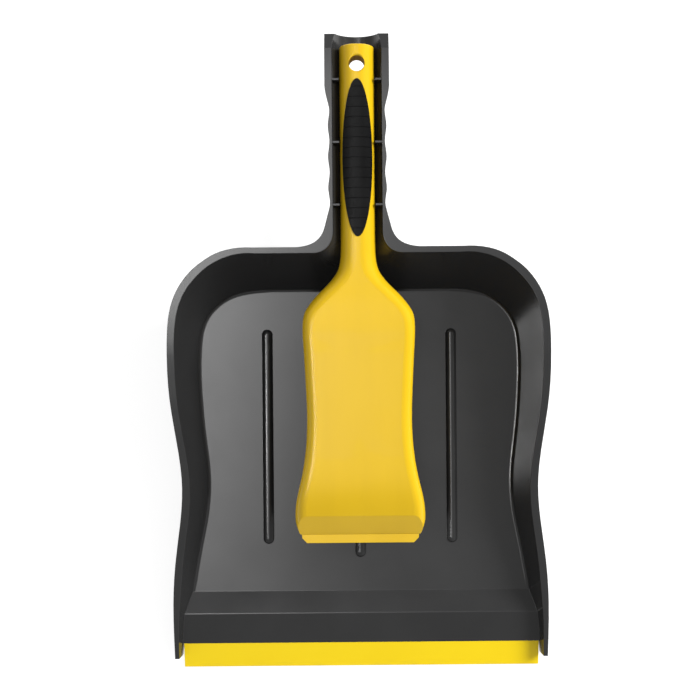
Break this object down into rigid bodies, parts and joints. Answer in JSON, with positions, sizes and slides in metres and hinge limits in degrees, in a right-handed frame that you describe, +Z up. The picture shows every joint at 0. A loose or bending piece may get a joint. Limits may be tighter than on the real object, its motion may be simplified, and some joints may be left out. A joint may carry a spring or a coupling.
{
  "type": "dustpan and brush set",
  "caption": "Dustpan with a flared bowl, soft front lip and channelled handle, with a hand brush nested in it that lifts out.",
  "frame": {"origin": "on the floor under the middle of the whole set", "axes": "+X across the pan to the right, +Y towards the end of the handle, +Z up from the floor"},
  "size_m": [0.224, 0.3722, 0.0561],
  "materials": {
    "pan_plastic": "glossy moulded polypropylene, dark graphite",
    "lip_rubber": "smooth soft rubber, yellow",
    "brush_plastic": "glossy moulded polypropylene, yellow",
    "grip_rubber": "matt soft rubber, black",
    "bristle_fibre": "black synthetic filament",
    "anchor_wire": "flat steel wire"
  },
  "bodies": {
    "pan": {"pan_body": "pan_plastic", "front_lip": "lip_rubber"},
    "brush": {"brush_body": "brush_plastic", "grip_pad": "grip_rubber", "tuft_anchors": "anchor_wire", "bristle_row_01": "bristle_fibre", "bristle_row_02": "bristle_fibre", "bristle_row_03": "bristle_fibre", "bristle_row_04": "bristle_fibre", "bristle_row_05": "bristle_fibre", "bristle_row_06": "bristle_fibre", "bristle_row_07": "bristle_fibre", "bristle_row_08": "bristle_fibre", "bristle_row_09": "bristle_fibre", "bristle_row_10": "bristle_fibre", "bristle_row_11": "bristle_fibre", "bristle_row_12": "bristle_fibre", "bristle_row_13": "bristle_fibre", "bristle_row_14": "bristle_fibre", "bristle_row_15": "bristle_fibre"}
  },
  "joints": [
    {"name": "brush_lift", "type": "slide", "parent": "pan", "child": "brush", "axis": [0, 0, 1], "range_m": [0, 0.09]}
  ]
}
